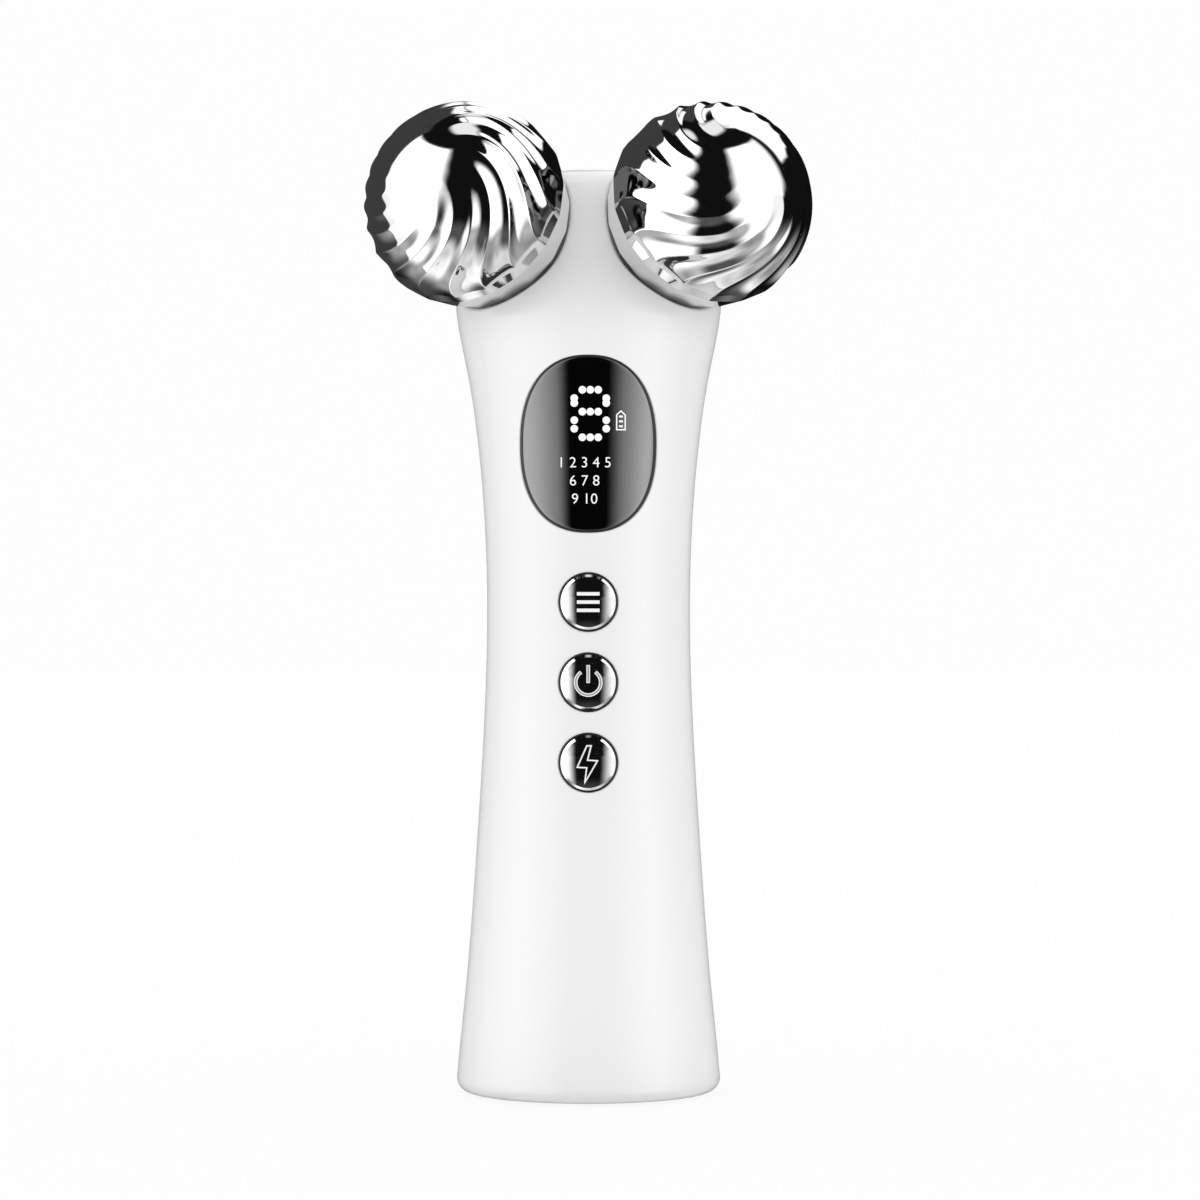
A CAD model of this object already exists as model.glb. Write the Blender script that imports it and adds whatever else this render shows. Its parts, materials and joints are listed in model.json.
# %% [markdown]
# # A two-ball facial toning device
#
# The real object is a white moulded handle with a black display, three chrome push buttons and two
# fluted chrome balls that turn freely. Its construction, sizes and joints come ready from the CAD
# frame, which stays as it is. This lesson adds what the eye wants: the polished balls with their
# swirling flutes, the curved display glass, the signs on it, and a finish for every part.

# %% Load the frame
import json

import bmesh
import bpy
import numpy as np
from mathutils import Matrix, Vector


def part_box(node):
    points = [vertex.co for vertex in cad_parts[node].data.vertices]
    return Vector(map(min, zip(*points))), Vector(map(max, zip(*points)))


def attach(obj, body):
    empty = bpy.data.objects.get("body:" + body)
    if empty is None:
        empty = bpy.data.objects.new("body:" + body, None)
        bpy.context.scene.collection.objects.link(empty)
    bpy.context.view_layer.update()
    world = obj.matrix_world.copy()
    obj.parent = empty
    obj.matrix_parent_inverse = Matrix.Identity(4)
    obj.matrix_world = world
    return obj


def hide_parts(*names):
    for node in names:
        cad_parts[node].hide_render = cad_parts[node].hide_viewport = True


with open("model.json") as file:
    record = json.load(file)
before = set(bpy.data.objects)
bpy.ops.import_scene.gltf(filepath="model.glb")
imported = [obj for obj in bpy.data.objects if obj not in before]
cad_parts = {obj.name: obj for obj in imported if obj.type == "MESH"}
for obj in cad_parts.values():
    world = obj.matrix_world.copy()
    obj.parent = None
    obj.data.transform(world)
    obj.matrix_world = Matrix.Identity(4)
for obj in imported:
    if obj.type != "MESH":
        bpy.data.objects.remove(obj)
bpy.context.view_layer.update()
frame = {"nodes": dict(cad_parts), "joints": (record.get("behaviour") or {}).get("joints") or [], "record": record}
nodes = frame["nodes"]
joints = {joint["name"]: joint for joint in frame["joints"]}

# %% [markdown]
# ## One unit for everything
#
# Blender counts in metres and the maker of such a device counts in millimetres. Every size below is
# written in millimetres, and one helper turns a finished array of points into metres.

# %% Units and small helpers
MM = 0.001


def lowest(node):
    """Lowest corner of a CAD node's box, in millimetres."""
    return np.array(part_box(node)[0]) / MM


def highest(node):
    """Highest corner of a CAD node's box, in millimetres."""
    return np.array(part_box(node)[1]) / MM


def smooth_step(low, high, value):
    """0 below low, 1 above high, and a curve that starts and ends level in between."""
    share = np.clip((value - low) / (high - low), 0, 1)
    return share * share * (3 - 2 * share)


# %% [markdown]
# ## Surfaces from grids
#
# A turned, moulded or printed piece can be built with modifiers, with curves, or as a grid of points
# that a formula places. The grid is chosen here because each surface of this device has a short
# formula, and because a closed grid, with its two ends drawn together in a point, can't have holes.
# Rows run along the piece and columns run round it. Edges that are crisp on the real piece are
# marked, and the shading breaks only there.

# %% Closed surface from rows of points
def closed_surface(name, rows, crisp=None):
    """Mesh of rows of points, rows by columns by 3, closed round and at both ends by a middle point.

    crisp is a function of the two row numbers and the column numbers of each edge's ends, which
    says whether the edge is marked as a crisp one."""
    count, around = rows.shape[:2]
    points = np.concatenate([rows.reshape(-1, 3), rows[:1].mean(1), rows[-1:].mean(1)])
    row, column = np.meshgrid(np.arange(count - 1), np.arange(around), indexing="ij")
    here = row * around + column
    beside = row * around + (column + 1) % around
    quads = np.stack([here, beside, beside + around, here + around], -1).reshape(-1, 4)
    ring = np.arange(around)
    turned = (ring + 1) % around
    first, last = count * around, count * around + 1
    base = (count - 1) * around
    start_fan = np.stack([np.full(around, first), turned, ring], -1)
    end_fan = np.stack([np.full(around, last), base + ring, base + turned], -1)
    mesh = bpy.data.meshes.new(name)
    faces = quads.tolist() + start_fan.tolist() + end_fan.tolist()
    mesh.from_pydata((points * MM).tolist(), [], faces)
    mesh.polygons.foreach_set("use_smooth", np.ones(len(faces), bool))
    if crisp is not None:
        ends = np.empty(len(mesh.edges) * 2, int)
        mesh.edges.foreach_get("vertices", ends)
        ends = ends.reshape(-1, 2)
        on_grid = (ends < first).all(1)
        marks = on_grid & crisp(ends[:, 0] // around, ends[:, 1] // around, ends % around)
        mesh.attributes.new("sharp_edge", "BOOLEAN", "EDGE").data.foreach_set("value", marks)
    mesh.update()
    piece = bpy.data.objects.new(name, mesh)
    bpy.context.scene.collection.objects.link(piece)
    print(name, len(points), "points,", len(faces), "faces")
    return piece


# %% Faces that point outwards
def outward(piece):
    """Turns a closed piece's faces to point outwards, where its volume shows that they point inwards."""
    mesh = piece.data
    mesh.calc_loop_triangles()
    corners = np.empty(len(mesh.loop_triangles) * 3, int)
    mesh.loop_triangles.foreach_get("vertices", corners)
    points = np.empty(len(mesh.vertices) * 3)
    mesh.vertices.foreach_get("co", points)
    a, b, c = points.reshape(-1, 3)[corners.reshape(-1, 3)].transpose(1, 0, 2)
    if (a * np.cross(b, c)).sum() < 0:
        mesh.flip_normals()
    return piece


# %% [markdown]
# ## The camera
#
# The device is seen level from the front, from about half a metre, with a long lens. The camera
# stands a little to the right of the middle plane and at half the height of the device.

# %% Camera
CAMERA_PLACE = (1.71, -540.0, 73.3)
SENSOR = 36.0
LENS_OVER_SENSOR = 3.02
NEAREST_SEEN = 10.0

camera_data = bpy.data.cameras.new("camera")
camera_data.sensor_width = SENSOR
camera_data.lens = SENSOR * LENS_OVER_SENSOR
camera_data.clip_start = NEAREST_SEEN * MM
camera = bpy.data.objects.new("camera", camera_data)
camera.location = np.array(CAMERA_PLACE) * MM
camera.rotation_euler = (np.pi / 2, 0, 0)
bpy.context.scene.collection.objects.link(camera)
bpy.context.scene.camera = camera
print("camera at", CAMERA_PLACE, "mm")

# %% [markdown]
# ## The fluted balls
#
# Each ball is a shell of zinc or plastic with mirror chrome on it. Eighteen hollow flutes swirl from
# its outer pole to its equator. They end there in small facets, and two more rows of flat facets lead
# to the flat back, where the core and its bushes sit. A sphere with a bump pattern would reflect the
# room wrongly and keep a round outline, so the flutes are real: between two neighbouring ridges the
# section is a chord of the circle, pressed in a little like a shallow trough.

# %% Sizes of a ball
BALL_RADIUS = 15.0
FLUTES = 18
FLUTE_SAG = 0.065           # depth of a trough's end below the chord, as a share of its width
CREST_ROUNDING = 0.1        # how far the polishing lowers a ridge
SWIRL = -67.6               # turn of a ridge from the pole to the equator, in degrees
SWIRL_START, SWIRL_END = 17.6, 86.6     # polar angles between which it turns
POLE_SMOOTH = (10.0, 36.0)  # and between which the ridges grow out of the smooth pole
TROUGH_GROWTH = (20.0, 78.0)    # and between which the troughs between them deepen
FLUTE_END, RING, BELT, BACK = 90.5, 96.5, 118.0, 138.0      # and of the rims of the facets
SHELL_WALL = 1.3
MOUTH_RADIUS = 8.55
RIDGE_PHASE = {"right": 9.4, "left": 21.3}
POLE_START, FLUTED_ROWS = 2.0, 64       # polar angle of the row beside the pole, and number of rows
INNER_END, INNER_ROWS = 6.0, 12         # the same for the inner sphere
# Places across one flute, closer together beside the ridge
ACROSS = np.array([0, 0.012, 0.03, 0.07, 0.15, 0.27, 0.4, 0.5, 0.6, 0.73, 0.85, 0.93, 0.97, 0.988])


# %% Rows of a ball
def fluted_rows(side, polar, sag):
    """Rows of a ball at polar angles, in degrees, as (x, y, lift) about the ball's own axis.

    Ridge k stands at the angle phase + swirl(polar) + 20 k degrees, and a point stands the share w of
    the way to the next one. It lies below the sphere by the depth of the chord there plus
    sag x width x 4 w (1 - w). Both fade out at the pole, and sqrt(depth^2 + e^2) - e rounds the
    ridge, where e is how far polishing lowers it."""
    polar = np.radians(np.asarray(polar, float))[:, None, None]
    half = np.pi / FLUTES
    swirl = SWIRL * smooth_step(SWIRL_START, SWIRL_END, np.degrees(polar))
    angle = np.radians(RIDGE_PHASE[side] + swirl) + 2 * half * (np.arange(FLUTES)[:, None] + ACROSS)
    chord = 1 - np.cos(half) / np.cos(half * (2 * ACROSS - 1))
    deepened = smooth_step(*TROUGH_GROWTH, np.degrees(polar))
    trough = sag * deepened * 2 * np.sin(half) * 4 * ACROSS * (1 - ACROSS)
    grown = smooth_step(*POLE_SMOOTH, np.degrees(polar)) * np.sin(polar)
    depth = np.hypot((chord + trough) * grown * BALL_RADIUS, CREST_ROUNDING) - CREST_ROUNDING
    flat = (BALL_RADIUS - depth) * np.sin(polar)
    lift = (BALL_RADIUS - depth) * np.cos(polar)
    points = np.broadcast_arrays(flat * np.cos(angle), flat * np.sin(angle), lift)
    return np.stack(points, -1).reshape(len(polar), -1, 3)


def turned_rows(profile):
    """Rows of circles from (radius, lift) pairs, in step with the columns of a ball."""
    share = (np.arange(FLUTES)[:, None] + ACROSS[None, :]).ravel() / FLUTES
    angle = 2 * np.pi * share
    circle = np.stack([np.cos(angle), np.sin(angle)], -1)
    rows = [np.concatenate([radius * circle, np.full((len(circle), 1), lift)], -1)
            for radius, lift in profile]
    return np.array(rows)


# %% The shell of a ball
def ball_shell(side):
    """Closed shell: flutes, end facets, two rows of flat facets, flat back, mouth and inner sphere."""
    fluted = fluted_rows(side, np.linspace(POLE_START, FLUTE_END, FLUTED_ROWS), FLUTE_SAG)
    faceted = fluted_rows(side, [RING, BELT, BACK], 0)
    back = BALL_RADIUS * np.cos(np.radians(BACK))
    inner = BALL_RADIUS * np.cos(np.pi / FLUTES) - SHELL_WALL
    inner -= 2 * BALL_RADIUS * np.sin(np.pi / FLUTES) * FLUTE_SAG
    lip = back + SHELL_WALL
    start = np.degrees(np.arccos(lip / inner))
    polar = np.radians(np.linspace(start, INNER_END, INNER_ROWS))
    profile = [(MOUTH_RADIUS, back), (MOUTH_RADIUS, lip)]
    profile += [(inner * np.sin(a), inner * np.cos(a)) for a in polar]
    rows = np.concatenate([fluted, faceted, turned_rows(profile)])
    joint = joints["roller_" + side + "_spin"]
    pole = np.array(joint["axis"])
    sideways = np.cross([0, 0, 1], pole)
    sideways /= np.linalg.norm(sideways)
    axes = np.stack([sideways, np.cross(pole, sideways), pole])
    rows = rows @ axes + np.array(joint["pos_m"]) / MM
    facet_start = len(fluted) - 1
    facet_end = facet_start + len(faceted)
    mouth_end = facet_end + 2

    def crisp(row_a, row_b, columns):
        """The rims of the facets and of the mouth, and the facets' sides in line with the ridges."""
        along = (row_a == row_b) & (row_a >= facet_start) & (row_a <= mouth_end)
        ridge = (columns[:, 0] == columns[:, 1]) & (columns[:, 0] % len(ACROSS) == 0)
        behind = (np.minimum(row_a, row_b) >= facet_start) & (np.maximum(row_a, row_b) <= facet_end)
        return along | (ridge & behind)

    return outward(closed_surface("roller_ball_" + side, rows, crisp))


# %% Both balls in place
balls = {}
for side in ("left", "right"):
    balls[side] = ball_shell(side)
    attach(balls[side], "roller_" + side)
    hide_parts("roller_shell_" + side)

# %% [markdown]
# ## The curved display glass
#
# The display is a smoked lens that follows the oval handle, with a rounded outline between an oval
# and a rectangle. Such a shape is a superellipse. The edge of the real lens is polished to a small
# radius, which catches a thin line of light all round, so the lens is made anew with that edge.

# %% The handle's front surface
WAIST_HEIGHT = 70.0
SHOULDER_HEIGHT = 113.5
WAIST_HALF_WIDTH = 15.1
BASE_HALF_WIDTH = 19.75
SHOULDER_HALF_WIDTH = 19.3
DEPTH_RATIO = 0.86
LOWER_FLARE_POWER, UPPER_FLARE_POWER = 1.5, 2.3


def half_width(z):
    """Half width of the handle: the waist plus a power curve down to the base or up to the shoulder."""
    below = np.clip((WAIST_HEIGHT - z) / WAIST_HEIGHT, 0, 1) ** LOWER_FLARE_POWER
    above = np.clip((z - WAIST_HEIGHT) / (SHOULDER_HEIGHT - WAIST_HEIGHT), 0, 1) ** UPPER_FLARE_POWER
    widened = (BASE_HALF_WIDTH - WAIST_HALF_WIDTH) * below
    return WAIST_HALF_WIDTH + widened + (SHOULDER_HALF_WIDTH - WAIST_HALF_WIDTH) * above


def handle_front(x, z, rise):
    """Y of the oval handle's front, with rise outwards: a flattened circle across each height."""
    across = half_width(z) + rise
    deep = half_width(z) * DEPTH_RATIO + rise
    return -deep * np.sqrt(1 - (x / across) ** 2)


# %% The lens
lens_low, lens_high = lowest("display_lens"), highest("display_lens")
LENS_HALF_WIDTH = (lens_high[0] - lens_low[0]) / 2
LENS_HALF_HEIGHT = (lens_high[2] - lens_low[2]) / 2
LENS_HEIGHT = (lens_high[2] + lens_low[2]) / 2
LENS_POWER = 2.35
LENS_PROUD = 0.15
LENS_THICKNESS = 1.2
LENS_EDGE = 0.15            # radius of the polished edge
EDGE_TURNS = (15, 30, 45, 60, 75, 90)   # places on that radius, in degrees
LENS_COLUMNS = 160
FRONT_ROWS, BACK_ROWS = 24, 12
INNERMOST = 0.04            # share of the outline at the row beside the middle point


def lens_ring(inset, share):
    """Superellipse |x/a|^p + |z/b|^p = 1, inset from the lens's outline and then scaled by share."""
    turn = np.linspace(0, 2 * np.pi, LENS_COLUMNS, endpoint=False)
    c, s = np.cos(turn), np.sin(turn)
    x = np.sign(c) * np.abs(c) ** (2 / LENS_POWER) * (LENS_HALF_WIDTH - inset) * share
    z = np.sign(s) * np.abs(s) ** (2 / LENS_POWER) * (LENS_HALF_HEIGHT - inset) * share
    return x, z + LENS_HEIGHT


def lens_piece():
    """Front skin, quarter-round edge, side wall and back skin of the lens, as one closed surface."""
    steps = [(LENS_EDGE, share, LENS_PROUD) for share in np.linspace(INNERMOST, 1, FRONT_ROWS)]
    for roll in np.radians(EDGE_TURNS):
        steps.append((LENS_EDGE * (1 - np.sin(roll)), 1, LENS_PROUD - LENS_EDGE * (1 - np.cos(roll))))
    steps.append((0, 1, -LENS_THICKNESS))
    back_shares = np.linspace(1 - INNERMOST, INNERMOST, BACK_ROWS)
    steps += [(0, share, -LENS_THICKNESS) for share in back_shares]
    rows = []
    for inset, share, rise in steps:
        x, z = lens_ring(inset, share)
        rows.append(np.stack([x, handle_front(x, z, rise), z], -1))
    back_edge = len(rows) - BACK_ROWS - 1

    def crisp(row_a, row_b, columns):
        """The edge between the side wall and the back skin."""
        return (row_a == row_b) & (row_a == back_edge)

    return outward(closed_surface("display_glass", np.array(rows), crisp))


lens = lens_piece()
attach(lens, "handle")
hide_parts("display_lens")

# %% [markdown]
# ## Marks on the glass and on the buttons
#
# The display shows a numeral made of light dots, a battery sign and rows of small numbers. The
# buttons carry a list sign, a power sign and a bolt. They could be painted by a texture, but a
# texture has no edge of its own and blurs close up. Here each mark is a very thin solid that lies on
# its surface: a stroke is a narrow band carried along a path, and its height follows the glass or the
# dome of the cap.

# %% Strokes along a path
INK = 0.03                  # how far a mark stands above its surface
INK_ROOT = 0.05             # and how far it reaches below it
MITRE_LIMIT = 0.35          # least cosine of a mitre, so that a sharp corner doesn't grow long
# Rings of a dot, from its top to its root, as (share of the radius, rise)
DISC_RINGS = ((0.5, INK), (0.93, INK), (1.0, INK * 0.4), (1.0, -INK_ROOT), (0.5, -INK_ROOT))


def evenly(path, spacing, closed):
    """The corners of a path with further points between them, spacing apart at most."""
    ends = path[1:] if not closed else path[1:] + path[:1]
    points = []
    for a, b in zip(np.array(path, float), np.array(ends, float)):
        parts = max(1, int(np.ceil(np.linalg.norm(b - a) / spacing)))
        points += [a + (b - a) * k / parts for k in range(parts)]
    return np.array(points if closed else points + [np.array(path[-1], float)])


def band_sides(points, width, closed):
    """Left and right side of a band along points, mitred at the corners."""
    before = np.roll(points, 1, 0)
    after = np.roll(points, -1, 0)
    if not closed:
        before[0], after[-1] = points[0], points[-1]
    into = points - before
    out = after - points
    if not closed:
        into[0], out[-1] = out[0], into[-1]
    into /= np.linalg.norm(into, axis=1, keepdims=True)
    out /= np.linalg.norm(out, axis=1, keepdims=True)
    along = into + out
    along /= np.linalg.norm(along, axis=1, keepdims=True)
    reach = width / 2 / np.maximum((along * into).sum(1), MITRE_LIMIT)[:, None]
    across = np.stack([-along[:, 1], along[:, 0]], -1) * reach
    return points + across, points - across


# %% A stroke
def stroke(path, width, surface, closed=False, spacing=0.25):
    """Thin solid band along a path in the (x, z) plane: points and faces, on a surface y(x, z, rise)."""
    left, right = band_sides(evenly(path, spacing, closed), width, closed)
    sections = []
    for side, rise in ((left, INK), (right, INK), (right, -INK_ROOT), (left, -INK_ROOT)):
        y = surface(side[:, 0], side[:, 1], rise)
        sections.append(np.stack([side[:, 0], y, side[:, 1]], -1))
    points = np.stack(sections, 1)
    count = len(points)
    spans = count if closed else count - 1
    station, corner = np.meshgrid(np.arange(spans), np.arange(4), indexing="ij")
    ahead = (station + 1) % count
    beside = (corner + 1) % 4
    faces = np.stack([station * 4 + corner, ahead * 4 + corner, ahead * 4 + beside,
                      station * 4 + beside], -1).reshape(-1, 4).tolist()
    if not closed:
        last = 4 * (count - 1)
        faces += [[0, 1, 2, 3], [last + 3, last + 2, last + 1, last]]
    return points.reshape(-1, 3), faces


# %% A dot
def disc(centre, radius, surface, columns=20):
    """Thin solid disc: circles for its flat top, bevelled edge and root, on a surface y(x, z, rise)."""
    turn = np.linspace(0, 2 * np.pi, columns, endpoint=False)
    rings = []
    for share, rise in DISC_RINGS:
        x = centre[0] + radius * share * np.cos(turn)
        z = centre[1] + radius * share * np.sin(turn)
        rings.append(np.stack([x, surface(x, z, rise), z], -1))
    points = np.concatenate(rings)
    ring, column = np.meshgrid(np.arange(len(rings) - 1), np.arange(columns), indexing="ij")
    here = ring * columns + column
    beside = ring * columns + (column + 1) % columns
    faces = np.stack([here, beside, beside + columns, here + columns], -1).reshape(-1, 4).tolist()
    faces.append(list(range(columns))[::-1])
    faces.append([(len(rings) - 1) * columns + k for k in range(columns)])
    return points, faces


# %% Joining marks into one piece
def marks(name, parts, body):
    """One piece of several thin solids, each given as points in millimetres and faces."""
    points, faces, first = [], [], 0
    for part_points, part_faces in parts:
        points.append(part_points)
        faces += [[first + corner for corner in face] for face in part_faces]
        first += len(part_points)
    mesh = bpy.data.meshes.new(name)
    mesh.from_pydata((np.concatenate(points) * MM).tolist(), [], faces)
    mesh.update()
    piece = bpy.data.objects.new(name, mesh)
    bpy.context.scene.collection.objects.link(piece)
    outward(piece)
    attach(piece, body)
    print(name, "of", len(parts), "marks")
    return piece


def on_glass(x, z, rise):
    """The surface of the display glass."""
    return handle_front(x, z, LENS_PROUD + rise)


# %% The numeral of light dots
DIGIT_MIDDLE = (0.3, 100.6)
DOT_RADIUS = 0.55
DOT_PITCH = 1.15
SIDE_OFFSET = 2.32
BAR_ROWS = (3.15, 0.0, -3.7)            # heights of the three bars, three dots each
SIDE_ROWS = (1.95, 1.25, -1.23, -2.45)  # and of the dots at both sides

dot_places = [(pitch * DOT_PITCH, row) for row in BAR_ROWS for pitch in (-1, 0, 1)]
dot_places += [(sign * SIDE_OFFSET, row) for row in SIDE_ROWS for sign in (-1, 1)]
digit = marks("display_digit", [disc((DIGIT_MIDDLE[0] + x, DIGIT_MIDDLE[1] + z), DOT_RADIUS, on_glass)
                                for x, z in dot_places], "handle")

# %% The battery sign
BATTERY_MIDDLE = (4.75, 99.3)
BATTERY_HALF = (0.62, 1.28)
BATTERY_SHOULDER = 0.85     # height at which the outline narrows to its tip
BATTERY_TIP = 0.15          # rise of the tip above the half height
BATTERY_LINE = 0.18
BATTERY_BARS = (-0.78, -0.07, 0.63)     # heights of the three bars inside
BAR_HALF, BAR_LINE = 0.28, 0.27


def around(middle, path):
    """A path moved to its middle."""
    return [(middle[0] + x, middle[1] + z) for x, z in path]


wide, tall = BATTERY_HALF
house = [(-wide, -tall), (wide, -tall), (wide, BATTERY_SHOULDER), (0, tall + BATTERY_TIP),
         (-wide, BATTERY_SHOULDER)]
battery_parts = [stroke(around(BATTERY_MIDDLE, house), BATTERY_LINE, on_glass, closed=True)]
for level in BATTERY_BARS:
    bar = around(BATTERY_MIDDLE, [(-BAR_HALF, level), (BAR_HALF, level)])
    battery_parts.append(stroke(bar, BAR_LINE, on_glass))
battery_sign = marks("display_battery_sign", battery_parts, "handle")

# %% Rows of plain numbers
NUMBER_ROWS = (("1 2 3 4 5", 93.35), ("6 7 8", 90.72), ("9 10", 88.08))     # and height of each middle
NUMBER_SIZE = 1.6
NUMBER_MIDDLE = -0.53
CAPITAL_SHARE = 1.36        # size of the typeface over the height of its figures
THINNING = -0.012           # moves the glyphs' outlines inwards, for a lighter stroke
GLYPH_STEPS = 4             # points on each curve of a glyph
WELD = 0.001                # points this near, as a share of the size, are one


def number_row(text, height):
    """Thin glyphs of Blender's own typeface, made a closed mesh and bent to the surface of the glass."""
    curve = bpy.data.curves.new("numbers", "FONT")
    curve.body = text
    curve.size = NUMBER_SIZE * CAPITAL_SHARE
    curve.align_x = "CENTER"
    curve.extrude = NUMBER_SIZE / 2
    curve.resolution_u = GLYPH_STEPS
    curve.offset = THINNING
    source = bpy.data.objects.new("numbers", curve)
    bpy.context.scene.collection.objects.link(source)
    bpy.context.view_layer.update()
    flat = bpy.data.meshes.new_from_object(source.evaluated_get(bpy.context.evaluated_depsgraph_get()))
    joined = bmesh.new()
    joined.from_mesh(flat)
    bmesh.ops.remove_doubles(joined, verts=joined.verts, dist=NUMBER_SIZE * WELD)
    points = np.array([vertex.co for vertex in joined.verts])
    faces = [[vertex.index for vertex in face.verts] for face in joined.faces]
    joined.free()
    bpy.data.objects.remove(source)
    bpy.data.meshes.remove(flat)
    x = points[:, 0] + NUMBER_MIDDLE
    z = points[:, 1] - points[:, 1].min() + height - NUMBER_SIZE / 2
    y = on_glass(x, z, np.where(points[:, 2] > 0, INK, -INK_ROOT))
    return np.stack([x, y, z], -1), faces


numbers = marks("display_numbers", [number_row(*row) for row in NUMBER_ROWS], "handle")

# %% [markdown]
# The three caps are domes, so a sign on a cap follows a sphere. The place of each dome is read from
# the cap's own box in the frame.

# %% Signs on the caps
CAP_DOME_RADIUS = 12.5
SIGN_LINE = 0.5
OUTLINE = 0.14              # line of a sign that is drawn as an outline


def cap_surface(button):
    """The dome of a cap as a function y(x, z, rise), and the height of its middle."""
    low, high = lowest("button_" + button), highest("button_" + button)
    middle = (low[2] + high[2]) / 2
    centre = low[1] + CAP_DOME_RADIUS

    def dome(x, z, rise):
        """A sphere behind the cap's crown, larger by rise."""
        return centre - np.sqrt((CAP_DOME_RADIUS + rise) ** 2 - x ** 2 - (z - middle) ** 2)

    return dome, middle


def arc(radius, start, end, parts=40):
    """Points of a circle's arc between two angles, in degrees, about the origin."""
    turn = np.radians(np.linspace(start, end, parts))
    return [(radius * np.cos(t), radius * np.sin(t)) for t in turn]


def rim(path, width):
    """The closed outline of a band along a path, as far inside it as half an outline's width."""
    left, right = band_sides(np.array(path, float), width - OUTLINE, False)
    return [tuple(point) for point in np.concatenate([left, right[::-1]])]


BOLT_LINE = 0.2
MODE_BARS, MODE_HALF = (1.2, 0.0, -1.2), 1.65       # heights of the bars, and half their length
BOLT = [(-0.2, 2.5), (0.42, 2.5), (-0.1, 0.42), (1.35, 0.33), (-0.5, -2.85), (-0.22, -0.68),
        (-1.6, -0.62)]
POWER_RING, POWER_BAR = arc(1.83, 127, 413), [(0, 0.0), (0, 2.45)]      # open at the top, for the bar
BRIGHT_SIGNS = {
    "mode": [([(-MODE_HALF, level), (MODE_HALF, level)], SIGN_LINE, False) for level in MODE_BARS],
    "power": [(rim(path, SIGN_LINE), OUTLINE, True) for path in (POWER_RING, POWER_BAR)],
    "level": [(BOLT, BOLT_LINE, True)],
}
SHADED_SIGNS = {"power": [(path, SIGN_LINE - 2 * OUTLINE, False) for path in (POWER_RING, POWER_BAR)]}


def sign_piece(name, button, strokes):
    """One piece of strokes that follow the dome of a cap."""
    dome, middle = cap_surface(button)
    parts = [stroke(around((0, middle), path), width, dome, closed) for path, width, closed in strokes]
    return marks(name, parts, "button_" + button)


bright_signs = [sign_piece(button + "_sign", button, strokes) for button, strokes in BRIGHT_SIGNS.items()]
shaded_signs = [sign_piece(button + "_sign_inside", button, strokes)
                for button, strokes in SHADED_SIGNS.items()]

# %% [markdown]
# ## Finishes
#
# A moulded or plated surface is never perfectly even: the tone drifts a little, the polish varies
# where the mould or the buffing wheel varied, and fine grain catches the light. One node group makes
# these three effects, and each material sets its own amounts. A second group draws the fine parallel
# lines of turned and drawn metal. What is the same all over a surface is set on the shader itself.

# %% Building blocks for node trees
def node(tree, kind, settings=(), **inputs):
    """A new node with settings and inputs, named as its sockets are, or _0, _1 and so on by number.

    An input is a socket to link, or a value."""
    made = tree.nodes.new(kind)
    for name, value in dict(settings).items():
        setattr(made, name, value)
    for name, value in inputs.items():
        socket = made.inputs[int(name[1:]) if name[1:].isdigit() else name.replace("_", " ")]
        if isinstance(value, bpy.types.NodeSocket):
            tree.links.new(value, socket)
        else:
            socket.default_value = value
    return made


def group(name, inputs, outputs):
    """A new shader node group with float, colour or vector sockets."""
    tree = bpy.data.node_groups.new(name, "ShaderNodeTree")
    kinds = {"float": "NodeSocketFloat", "colour": "NodeSocketColor", "vector": "NodeSocketVector"}
    for label, kind in inputs:
        tree.interface.new_socket(label, in_out="INPUT", socket_type=kinds[kind])
    for label, kind in outputs:
        tree.interface.new_socket(label, in_out="OUTPUT", socket_type=kinds[kind])
    return tree, tree.nodes.new("NodeGroupInput"), tree.nodes.new("NodeGroupOutput")


# %% The drift of tone and polish
BROAD_DETAIL, FINE_DETAIL, LINE_DETAIL = 3.0, 2.0, 4.0
LINE_STRETCH = (1.0, 0.04, 1.0)         # squeezes the place along the lines
GRAIN_HEIGHT = 0.02         # of the bumps, in millimetres


def moulding_group():
    """Noise at two scales: a broad one moves colour and roughness, a fine one gives the grain's height."""
    tree, given, result = group(
        "moulding",
        [("Place", "vector"), ("Colour", "colour"), ("Tone Drift", "float"), ("Roughness", "float"),
         ("Polish Drift", "float"), ("Broad Scale", "float"), ("Grain Scale", "float")],
        [("Colour", "colour"), ("Roughness", "float"), ("Height", "float")])
    broad = node(tree, "ShaderNodeTexNoise", Vector=given.outputs["Place"],
                 Scale=given.outputs["Broad Scale"], Detail=BROAD_DETAIL)
    fine = node(tree, "ShaderNodeTexNoise", Vector=given.outputs["Place"],
                Scale=given.outputs["Grain Scale"], Detail=FINE_DETAIL)
    centred = node(tree, "ShaderNodeMath", {"operation": "SUBTRACT"}, _0=broad.outputs["Fac"], _1=0.5)
    tone = node(tree, "ShaderNodeMath", {"operation": "MULTIPLY"}, _0=centred.outputs[0],
                _1=given.outputs["Tone Drift"])
    bright = node(tree, "ShaderNodeMath", {"operation": "ADD"}, _0=tone.outputs[0], _1=1.0)
    colour = node(tree, "ShaderNodeHueSaturation", Color=given.outputs["Colour"], Value=bright.outputs[0])
    spread = node(tree, "ShaderNodeMath", {"operation": "MULTIPLY"}, _0=centred.outputs[0],
                  _1=given.outputs["Polish Drift"])
    rough = node(tree, "ShaderNodeMath", {"operation": "ADD", "use_clamp": True}, _0=spread.outputs[0],
                 _1=given.outputs["Roughness"])
    tree.links.new(colour.outputs[0], result.inputs["Colour"])
    tree.links.new(rough.outputs[0], result.inputs["Roughness"])
    tree.links.new(fine.outputs["Fac"], result.inputs["Height"])
    return tree


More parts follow.
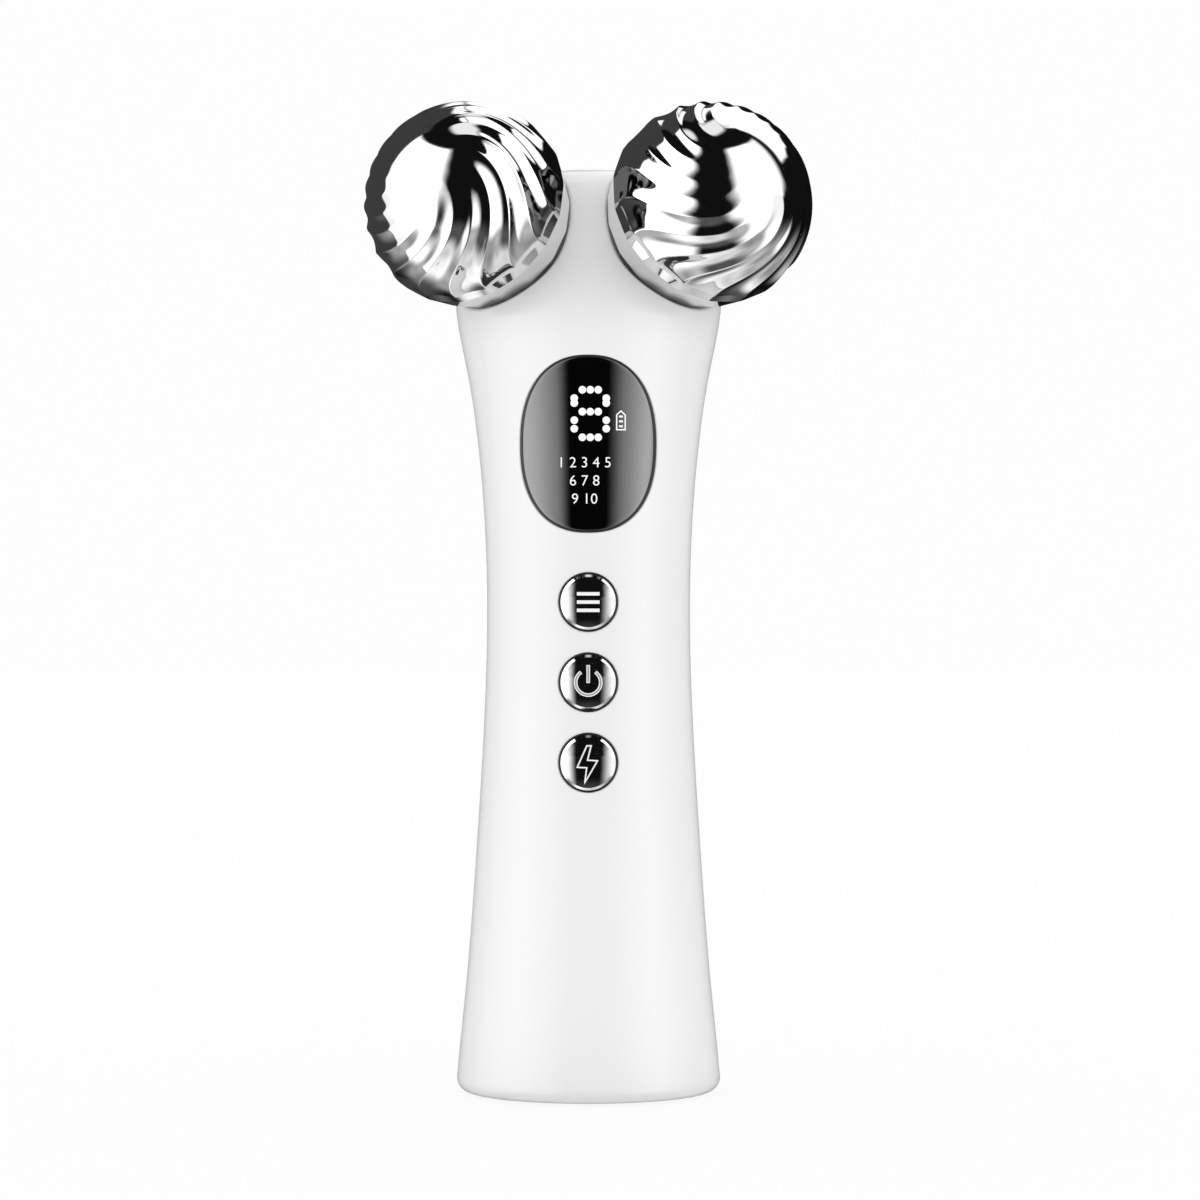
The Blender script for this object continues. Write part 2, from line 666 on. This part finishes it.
# %% The lines of worked metal
def lines_group():
    """Noise stretched along one direction, as turning, drawing and brushing leave it."""
    tree, given, result = group(
        "worked_lines", [("Place", "vector"), ("Scale", "float"), ("Depth", "float")],
        [("Height", "float"), ("Sheen", "float")])
    stretched = node(tree, "ShaderNodeVectorMath", {"operation": "MULTIPLY"}, _0=given.outputs["Place"],
                     _1=LINE_STRETCH)
    lines = node(tree, "ShaderNodeTexNoise", Vector=stretched.outputs[0], Scale=given.outputs["Scale"],
                 Detail=LINE_DETAIL)
    height = node(tree, "ShaderNodeMath", {"operation": "MULTIPLY"}, _0=lines.outputs["Fac"],
                  _1=given.outputs["Depth"])
    tree.links.new(height.outputs[0], result.inputs["Height"])
    tree.links.new(lines.outputs["Fac"], result.inputs["Sheen"])
    return tree


MOULDING, LINES = moulding_group(), lines_group()


# %% One function for every finish
def finish(name, colour, roughness, tone=0.02, polish=0.04, broad=60.0, grain=900.0, bump=0.0,
           lines=0.0, **shader):
    """A material: the moulding group, with or without worked lines, feeding a Principled shader.

    bump is the strength of the grain's height, and lines the depth of worked lines. The remaining
    names are sockets of the shader that are the same all over the surface."""
    material = bpy.data.materials.new(name)
    material.use_nodes = True
    tree = material.node_tree
    principled = tree.nodes["Principled BSDF"]
    place = node(tree, "ShaderNodeTexCoord")
    mould = node(tree, "ShaderNodeGroup", {"node_tree": MOULDING}, Place=place.outputs["Object"],
                 Colour=(*colour, 1), Tone_Drift=tone, Roughness=roughness, Polish_Drift=polish,
                 Broad_Scale=broad, Grain_Scale=grain)
    tree.links.new(mould.outputs["Colour"], principled.inputs["Base Color"])
    tree.links.new(mould.outputs["Roughness"], principled.inputs["Roughness"])
    height = mould.outputs["Height"]
    if lines:
        worked = node(tree, "ShaderNodeGroup", {"node_tree": LINES}, Place=place.outputs["Object"],
                      Scale=grain, Depth=lines)
        height = node(tree, "ShaderNodeMath", {"operation": "ADD"}, _0=height,
                      _1=worked.outputs["Height"]).outputs[0]
    if bump:
        raised = node(tree, "ShaderNodeBump", Strength=bump, Distance=GRAIN_HEIGHT * MM,
                      Height=height)
        tree.links.new(raised.outputs[0], principled.inputs["Normal"])
    for socket, value in shader.items():
        principled.inputs[socket.replace("_", " ")].default_value = value
    return material


# %% [markdown]
# ### What each finish is
#
# The shells are high-gloss white plastic with the faint ripple of the mould. The display is smoked
# glass, which reflects more than plastic does. The balls and caps are mirror chrome. The inner parts
# are matt and plain, as nobody polishes what nobody sees, but each still has the tone, the grain and
# the shine of its own stuff.

# %% The finishes, one for each slot
FINISHES = {
    "white_shell": finish("white_shell", (0.9, 0.9, 0.9), 0.2, tone=0.006, polish=0.05, broad=35.0,
                          grain=500.0, bump=0.03, IOR=1.38),
    "lens_black": finish("lens_black", (0.001, 0.001, 0.001), 0.05, polish=0.02, IOR=2.1),
    "chrome_ball": finish("chrome_ball", (0.82, 0.82, 0.82), 0.05, tone=0.02, polish=0.03, broad=90.0,
                          Metallic=1.0),
    "chrome_cap": finish("chrome_cap", (0.82, 0.82, 0.81), 0.06, tone=0.02, polish=0.03, broad=200.0,
                         Metallic=1.0),
    "black_trim": finish("black_trim", (0.012, 0.012, 0.012), 0.4, polish=0.1, bump=0.2),
    "grey_plastic": finish("grey_plastic", (0.42, 0.43, 0.44), 0.5, tone=0.06, polish=0.12, bump=0.3),
    "steel": finish("steel", (0.6, 0.6, 0.61), 0.28, tone=0.05, polish=0.12, bump=0.2, lines=0.8,
                    Metallic=1.0),
    "brass": finish("brass", (0.75, 0.56, 0.27), 0.3, tone=0.1, polish=0.15, bump=0.2, lines=0.8,
                    Metallic=1.0),
    "soft_rubber": finish("soft_rubber", (0.55, 0.55, 0.55), 0.75, tone=0.05, polish=0.1, bump=0.4),
    "dark_rubber": finish("dark_rubber", (0.008, 0.008, 0.008), 0.5, tone=0.2, polish=0.1, bump=0.3),
    "circuit_board": finish("circuit_board", (0.02, 0.16, 0.07), 0.35, tone=0.2, polish=0.1, bump=0.2),
    "chip_black": finish("chip_black", (0.02, 0.02, 0.022), 0.55, tone=0.15, polish=0.15, bump=0.4),
    "battery_foil": finish("battery_foil", (0.6, 0.61, 0.63), 0.35, tone=0.06, polish=0.15, bump=0.5,
                           grain=300.0, Metallic=1.0),
    "led_white": finish("led_white", (0.9, 0.9, 0.9), 0.3, polish=0.05),
    "wire_red": finish("wire_red", (0.4, 0.02, 0.02), 0.45, tone=0.08, polish=0.1, bump=0.2),
}
LIT = finish("lit_marks", (0.02, 0.02, 0.02), 0.3, polish=0.05, Emission_Color=(1, 1, 1, 1),
             Emission_Strength=1.0)
PRINT = finish("printed_signs", (0.95, 0.95, 0.95), 0.35, tone=0.04, polish=0.05, bump=0.1)
GREY_PRINT = finish("printed_grey", (0.3, 0.3, 0.3), 0.35, tone=0.04, polish=0.05, bump=0.1)


def coat(piece, material):
    """Gives a piece one material."""
    piece.data.materials.clear()
    piece.data.materials.append(material)


# %% Every piece gets its finish
slots = {row["node"]: row["material_slot"] for row in frame["record"]["subparts"]}
for name, piece in nodes.items():
    coat(piece, FINISHES[slots[name]])
for ball in balls.values():
    coat(ball, FINISHES["chrome_ball"])
coat(lens, FINISHES["lens_black"])
for piece in (digit, battery_sign, numbers):
    coat(piece, LIT)
for piece in bright_signs:
    coat(piece, PRINT)
for piece in shaded_signs:
    coat(piece, GREY_PRINT)
print(len(FINISHES) + 3, "finishes")

# %% [markdown]
# ## The studio
#
# White objects are lit from all round, or they turn grey. Chrome has no colour of its own: it shows
# the room, so a room of even white would make it vanish. A studio hangs black cloth and a few large
# soft lights round polished metal. Here the even light comes from the world, and only mirror
# reflections see the dark room with its soft lights. The camera sees plain white.

# %% The room that polished surfaces see
# Each light: from and to, round the device in degrees from the camera and upwards, the widths of its
# soft sides in the same order, and its strength. The large light at either side is a lower part, an
# upper part and a bright core over both. The lights that end below 0 degrees are the lit table.
LIGHTS = (
    ((-107, -16), (-44, 8), (3, 14), (12, 3), 1.1),
    ((-107, -17), (5, 58), (3, 16), (3, 4), 1.3),
    ((-100, -18), (-36, 58), (36, 44), (12, 4), 2.1),
    ((16, 92), (-38, 8), (18, 10), (12, 3), 1.1),
    ((19, 96), (5, 59), (14, 10), (3, 4), 1.3),
    ((24, 78), (-28, 59), (40, 22), (8, 4), 2.1),
    ((100, 182), (29, 80), (6, 6), (4, 6), 1.4),
    ((-182, -166), (40, 76), (6, 6), (4, 4), 1.4),
    ((-182, 182), (76, 92), (1, 1), (6, 1), 1.0),
    ((-182, -104), (-24, 66), (6, 4), (6, 6), 0.045),
    ((-165, -14), (-84, -8), (40, 30), (40, 30), 0.42),
    ((14, 165), (-84, -8), (30, 40), (40, 30), 0.42),
    ((-182, 182), (-92, -48), (1, 1), (1, 22), 0.72),
    ((-182, 182), (-92, -22), (1, 1), (1, 20), 0.08),
)
DARK_TONE = 0.006
SECOND_MIRROR = 0.12        # share of the room that a mirror shows inside another mirror
BACKDROP = 0.985
EVEN_LIGHT = 0.59
EVEN_LIFT = 0.6             # how much more comes from above
EVEN_SIDES = 0.15           # and from both sides
CLOUDS = 0.45               # how much the lower lights vary from place to place
CLOUD_SCALE = 1.6
CLOUD_RANGE = (0.3, 0.7)    # values of the noise between which they vary


# %% Helpers for the room
def world_value(tree, operation, a, b=0.0):
    """The result of one operation on two sockets or values."""
    return node(tree, "ShaderNodeMath", {"operation": operation}, _0=a, _1=b).outputs[0]


def ramp(tree, value, low, high):
    """Smooth step from 0 at low to 1 at high, both in degrees."""
    made = node(tree, "ShaderNodeMapRange", {"interpolation_type": "SMOOTHSTEP"}, Value=value,
                From_Min=np.radians(low), From_Max=np.radians(high))
    return made.outputs["Result"]


def window(tree, value, ends, soft):
    """A smooth step up at one end times a smooth step down at the other, both inside the ends."""
    rising = ramp(tree, value, ends[0], ends[0] + soft[0])
    falling = ramp(tree, value, ends[1] - soft[1], ends[1])
    return world_value(tree, "MULTIPLY", rising, world_value(tree, "SUBTRACT", 1.0, falling))


# %% The world
def studio_world():
    """World that is white to the camera, even to matt surfaces and a dark studio to mirrors.

    The even light is EVEN_LIGHT, plus EVEN_LIFT times the height of the direction, plus EVEN_SIDES
    times its reach to the side. The studio is DARK_TONE plus each light's strength times its windows
    in the two angles of the direction."""
    world = bpy.data.worlds.new("studio")
    bpy.context.scene.world = world
    world.use_nodes = True
    tree = world.node_tree
    tree.nodes.clear()
    place = node(tree, "ShaderNodeTexCoord")
    parts = node(tree, "ShaderNodeSeparateXYZ", Vector=place.outputs["Generated"])
    x, y, z = (parts.outputs[k] for k in range(3))
    round_angle = world_value(tree, "ARCTAN2", x, world_value(tree, "MULTIPLY", y, -1.0))
    up_angle = world_value(tree, "ARCSINE", z)
    noise = node(tree, "ShaderNodeTexNoise", Vector=place.outputs["Generated"], Scale=CLOUD_SCALE,
                 Detail=1.0)
    clouds = node(tree, "ShaderNodeMapRange", Value=noise.outputs["Fac"], From_Min=CLOUD_RANGE[0],
                  From_Max=CLOUD_RANGE[1], To_Min=1 - CLOUDS, To_Max=1 + CLOUDS)
    room = DARK_TONE
    for across, upright, soft_sides, soft_ends, strength in LIGHTS:
        mask = world_value(tree, "MULTIPLY", window(tree, round_angle, across, soft_sides),
                           window(tree, up_angle, upright, soft_ends))
        if upright[1] < 0:
            mask = world_value(tree, "MULTIPLY", mask, clouds.outputs[0])
        room = world_value(tree, "ADD", world_value(tree, "MULTIPLY", mask, strength), room)
    above = world_value(tree, "MULTIPLY", world_value(tree, "MAXIMUM", z), EVEN_LIFT)
    beside = world_value(tree, "MULTIPLY", world_value(tree, "ABSOLUTE", x), EVEN_SIDES)
    even = world_value(tree, "ADD", world_value(tree, "ADD", above, beside), EVEN_LIGHT)
    path = node(tree, "ShaderNodeLightPath")
    mirror = world_value(tree, "MAXIMUM", path.outputs["Is Glossy Ray"],
                         path.outputs["Is Transmission Ray"])
    direct = world_value(tree, "LESS_THAN", path.outputs["Diffuse Depth"], 0.5)
    again = world_value(tree, "GREATER_THAN", path.outputs["Glossy Depth"], 1.5)
    dimmed = world_value(tree, "MULTIPLY", room, SECOND_MIRROR)
    room = node(tree, "ShaderNodeMix", {"data_type": "FLOAT"}, _0=again, _2=room, _3=dimmed).outputs[0]
    lit = node(tree, "ShaderNodeMix", {"data_type": "FLOAT"}, _0=path.outputs["Is Camera Ray"],
               _2=even, _3=BACKDROP)
    polished = world_value(tree, "MULTIPLY", mirror, direct)
    seen = node(tree, "ShaderNodeMix", {"data_type": "FLOAT"}, _0=polished, _2=lit.outputs[0], _3=room)
    background = node(tree, "ShaderNodeBackground", Color=(1, 1, 1, 1), Strength=seen.outputs[0])
    out = node(tree, "ShaderNodeOutputWorld")
    tree.links.new(background.outputs[0], out.inputs["Surface"])
    world.cycles.sampling_method = "NONE"


studio_world()
print("studio with", len(LIGHTS), "soft lights")

# %% [markdown]
# ## The floor
#
# A pale floor carries the device and keeps its shadow. To the camera it glows almost as white as the
# backdrop, so that no horizon shows, and the part of it that doesn't glow takes the shadow. To the
# device it is a table of lit milk glass, as studios use under white goods.

# %% Floor
FLOOR_REACH = 3.0
FLOOR_GLOW = 0.86
FLOOR_TONE = (0.95, 0.95, 0.95, 1)
FLOOR_LIGHT = 1.07          # what the lit table sends up to the device
UNDER_LIGHT = 0.55          # share of that close to the device, in its own shadow
SHADE_REACH = (12.0, 30.0)  # distances from the handle's axis between which the shadow ends


def floor_piece():
    """A flat square. Its light upwards rises by a smooth step of the distance from the middle."""
    mesh = bpy.data.meshes.new("floor")
    corners = FLOOR_REACH * np.array([(-1, -1, 0), (1, -1, 0), (1, 1, 0), (-1, 1, 0)])
    mesh.from_pydata(corners.tolist(), [], [(0, 1, 2, 3)])
    floor = bpy.data.objects.new("floor", mesh)
    bpy.context.scene.collection.objects.link(floor)
    material = bpy.data.materials.new("floor")
    material.use_nodes = True
    tree = material.node_tree
    tree.nodes.clear()
    path = node(tree, "ShaderNodeLightPath")
    matt = node(tree, "ShaderNodeBsdfDiffuse", Color=FLOOR_TONE)
    white = node(tree, "ShaderNodeEmission", Color=(1, 1, 1, 1), Strength=BACKDROP)
    seen = node(tree, "ShaderNodeMixShader", Fac=FLOOR_GLOW, _1=matt.outputs[0], _2=white.outputs[0])
    place = node(tree, "ShaderNodeTexCoord")
    distance = node(tree, "ShaderNodeVectorMath", {"operation": "LENGTH"}, _0=place.outputs["Object"])
    shade = node(tree, "ShaderNodeMapRange", {"interpolation_type": "SMOOTHSTEP"},
                 Value=distance.outputs["Value"], From_Min=SHADE_REACH[0] * MM,
                 From_Max=SHADE_REACH[1] * MM, To_Min=FLOOR_LIGHT * UNDER_LIGHT, To_Max=FLOOR_LIGHT)
    table = node(tree, "ShaderNodeEmission", Color=(1, 1, 1, 1), Strength=shade.outputs[0])
    mixed = node(tree, "ShaderNodeMixShader", Fac=path.outputs["Is Camera Ray"], _1=table.outputs[0],
                 _2=seen.outputs[0])
    out = node(tree, "ShaderNodeOutputMaterial")
    tree.links.new(mixed.outputs[0], out.inputs["Surface"])
    mesh.materials.append(material)
    floor.visible_glossy = False
    return floor


floor = floor_piece()
bpy.context.scene.view_settings.view_transform = "Standard"
